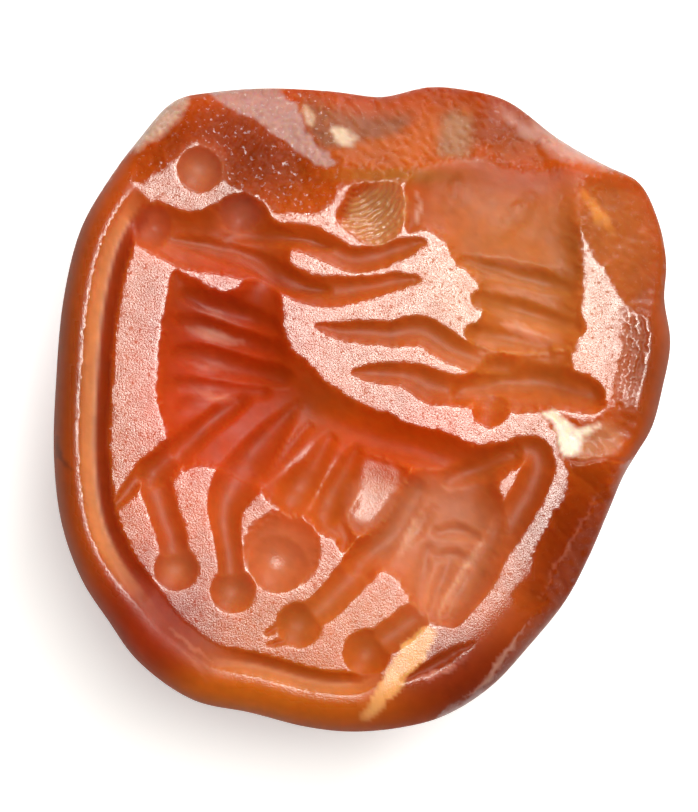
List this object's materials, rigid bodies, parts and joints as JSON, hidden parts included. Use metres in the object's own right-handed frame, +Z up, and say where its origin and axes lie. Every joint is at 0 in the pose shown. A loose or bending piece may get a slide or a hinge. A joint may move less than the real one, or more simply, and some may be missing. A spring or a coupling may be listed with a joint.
{
  "type": "scarab seal",
  "caption": "Broken carnelian scarab seal: a beetle-backed gem, its flat face engraved with two goats head to tail inside a grooved border",
  "frame": {"origin": "centre of the stone's outline, on the floor under the flat spot of the beetle's back", "axes": "+Z up through the engraved face, +Y towards the broken end, +X to the right as the face is read"},
  "size_m": [0.0124, 0.013, 0.0082],
  "materials": {
    "carnelian": "polished face, matt cuts and glossy breaks"
  },
  "bodies": {
    "root": {"scarab_seal": "carnelian"}
  },
  "joints": []
}
